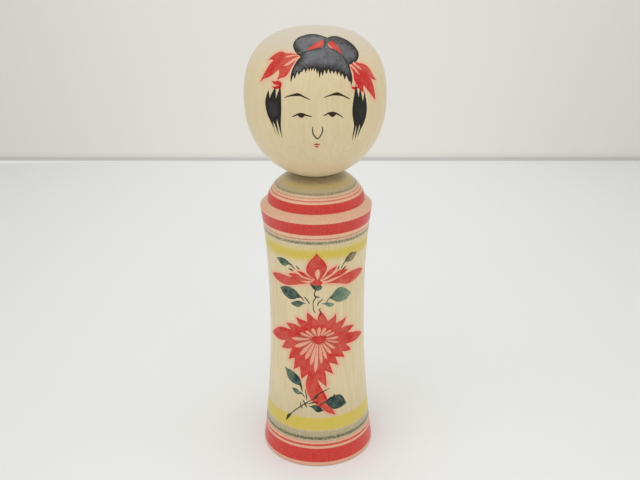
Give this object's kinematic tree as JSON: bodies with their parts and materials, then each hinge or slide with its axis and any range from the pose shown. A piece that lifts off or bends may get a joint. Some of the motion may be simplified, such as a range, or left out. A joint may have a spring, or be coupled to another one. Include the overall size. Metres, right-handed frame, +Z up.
{
  "type": "kokeshi doll",
  "caption": "Painted wooden kokeshi doll with a waisted cylindrical body, a domed shoulder, and a large rounded head that turns on its own neck tenon.",
  "frame": {"origin": "centre of the flat base, on the surface that the doll stands on", "axes": "+Z up along the axis that both pieces are turned about; the painted face and flowers look along -Y; +X is to the right of someone facing the doll"},
  "size_m": [0.0734, 0.0734, 0.2419],
  "materials": {
    "body_wood": "waxed, with water-based painted decoration",
    "head_wood": "waxed, with water-based painted decoration"
  },
  "bodies": {
    "body": {"body": "body_wood"},
    "head": {"head": "head_wood"}
  },
  "joints": [
    {"name": "head_turn", "type": "hinge", "parent": "body", "child": "head", "pos_m": [0, 0, 0.16675], "axis": [0, 0, 1], "continuous": true}
  ]
}
